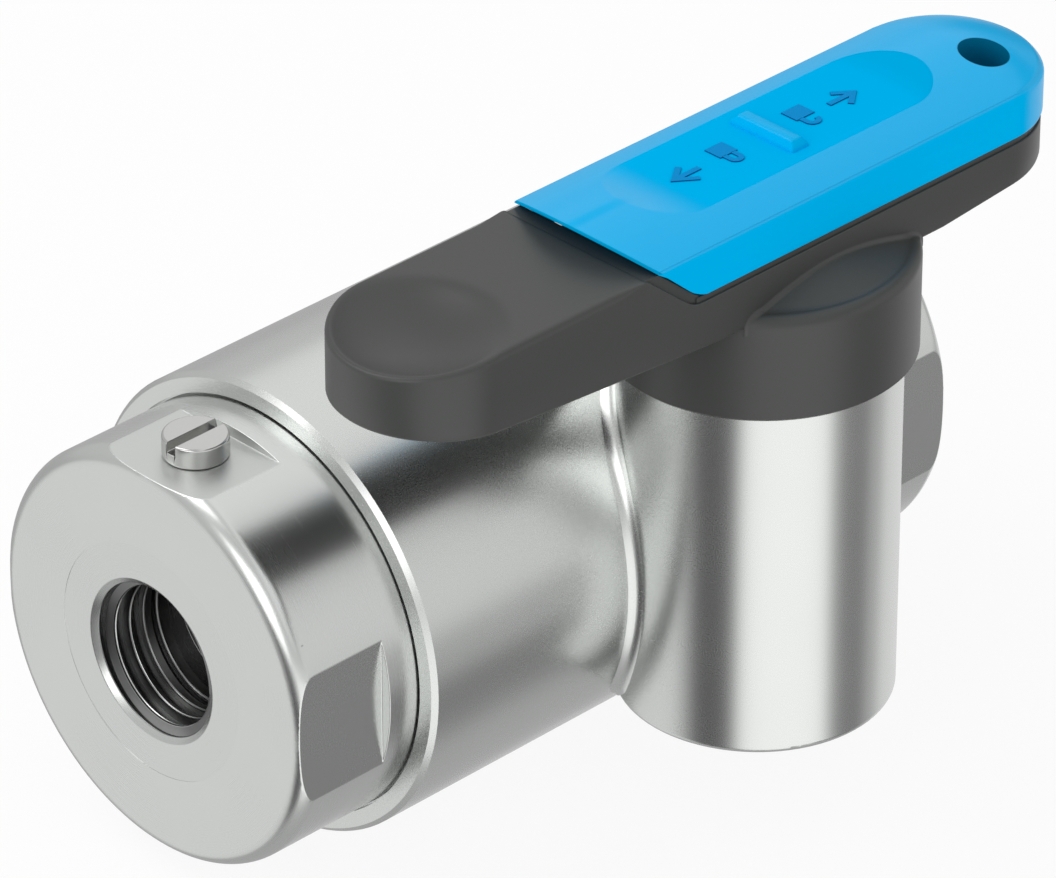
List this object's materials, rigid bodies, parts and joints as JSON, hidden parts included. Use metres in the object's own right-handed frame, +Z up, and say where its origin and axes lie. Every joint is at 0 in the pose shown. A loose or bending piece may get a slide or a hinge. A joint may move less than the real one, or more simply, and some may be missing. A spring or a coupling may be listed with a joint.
{
  "type": "manual pinch valve",
  "caption": "Steel pinch valve with threaded ports in line and a flexible sleeve inside, pinched by a cam that a quarter-turn lever turns; a sliding lock covers the lever.",
  "frame": {"origin": "centre of the inlet cap's front face, on the flow axis", "axes": "+X along the flow towards the outlet, +Z up along the lever's shaft towards the lever, -Y towards the boss that carries the shaft"},
  "size_m": [0.1181, 0.087, 0.0939],
  "materials": {
    "body_steel": "satin",
    "hardware_steel": "satin",
    "bush_bronze": "satin",
    "seal_rubber": "matte",
    "sleeve_rubber": "matte",
    "lever_plastic": "fine grain",
    "slide_plastic": "fine grain"
  },
  "bodies": {
    "valve": {"valve_body": "body_steel", "inlet_cap": "body_steel", "outlet_cap": "body_steel", "cap_screw": "hardware_steel", "inlet_o_ring": "seal_rubber", "outlet_o_ring": "seal_rubber", "sleeve": "sleeve_rubber", "inlet_support_ring": "body_steel", "outlet_support_ring": "body_steel", "anvil": "hardware_steel", "anvil_pin": "hardware_steel", "guide_bush": "bush_bronze", "guide_key": "hardware_steel", "lower_bush": "bush_bronze", "thrust_washer": "bush_bronze", "bearing_plug": "body_steel", "plug_o_ring": "seal_rubber", "upper_bush": "bush_bronze", "stop_plate": "hardware_steel", "plate_screws": "hardware_steel"},
    "handle": {"cam_shaft": "hardware_steel", "shaft_o_ring": "seal_rubber", "lever": "lever_plastic", "lever_washer": "hardware_steel", "lever_screw": "hardware_steel", "detent_spring": "hardware_steel", "detent_ball": "hardware_steel"},
    "slide": {"lock_slide": "slide_plastic", "lock_tongue": "hardware_steel", "tongue_pin": "hardware_steel"},
    "pusher": {"presser": "hardware_steel"}
  },
  "joints": [
    {"name": "lever_turn", "type": "hinge", "parent": "valve", "child": "handle", "pos_m": [0.0725, -0.0354, 0], "axis": [0, 0, -1], "range_deg": [0, 90]},
    {"name": "lock_slide", "type": "slide", "parent": "handle", "child": "slide", "axis": [-1, 0, 0], "range_m": [0, 0.002]},
    {"name": "presser_slide", "type": "slide", "parent": "valve", "child": "pusher", "axis": [0, 1, 0], "range_m": [0, 0.0105], "deforming": ["sleeve"]}
  ],
  "couplings": [
    {"joint": "presser_slide", "follows": "lever_turn", "m_per_rad": 0.0066209}
  ]
}
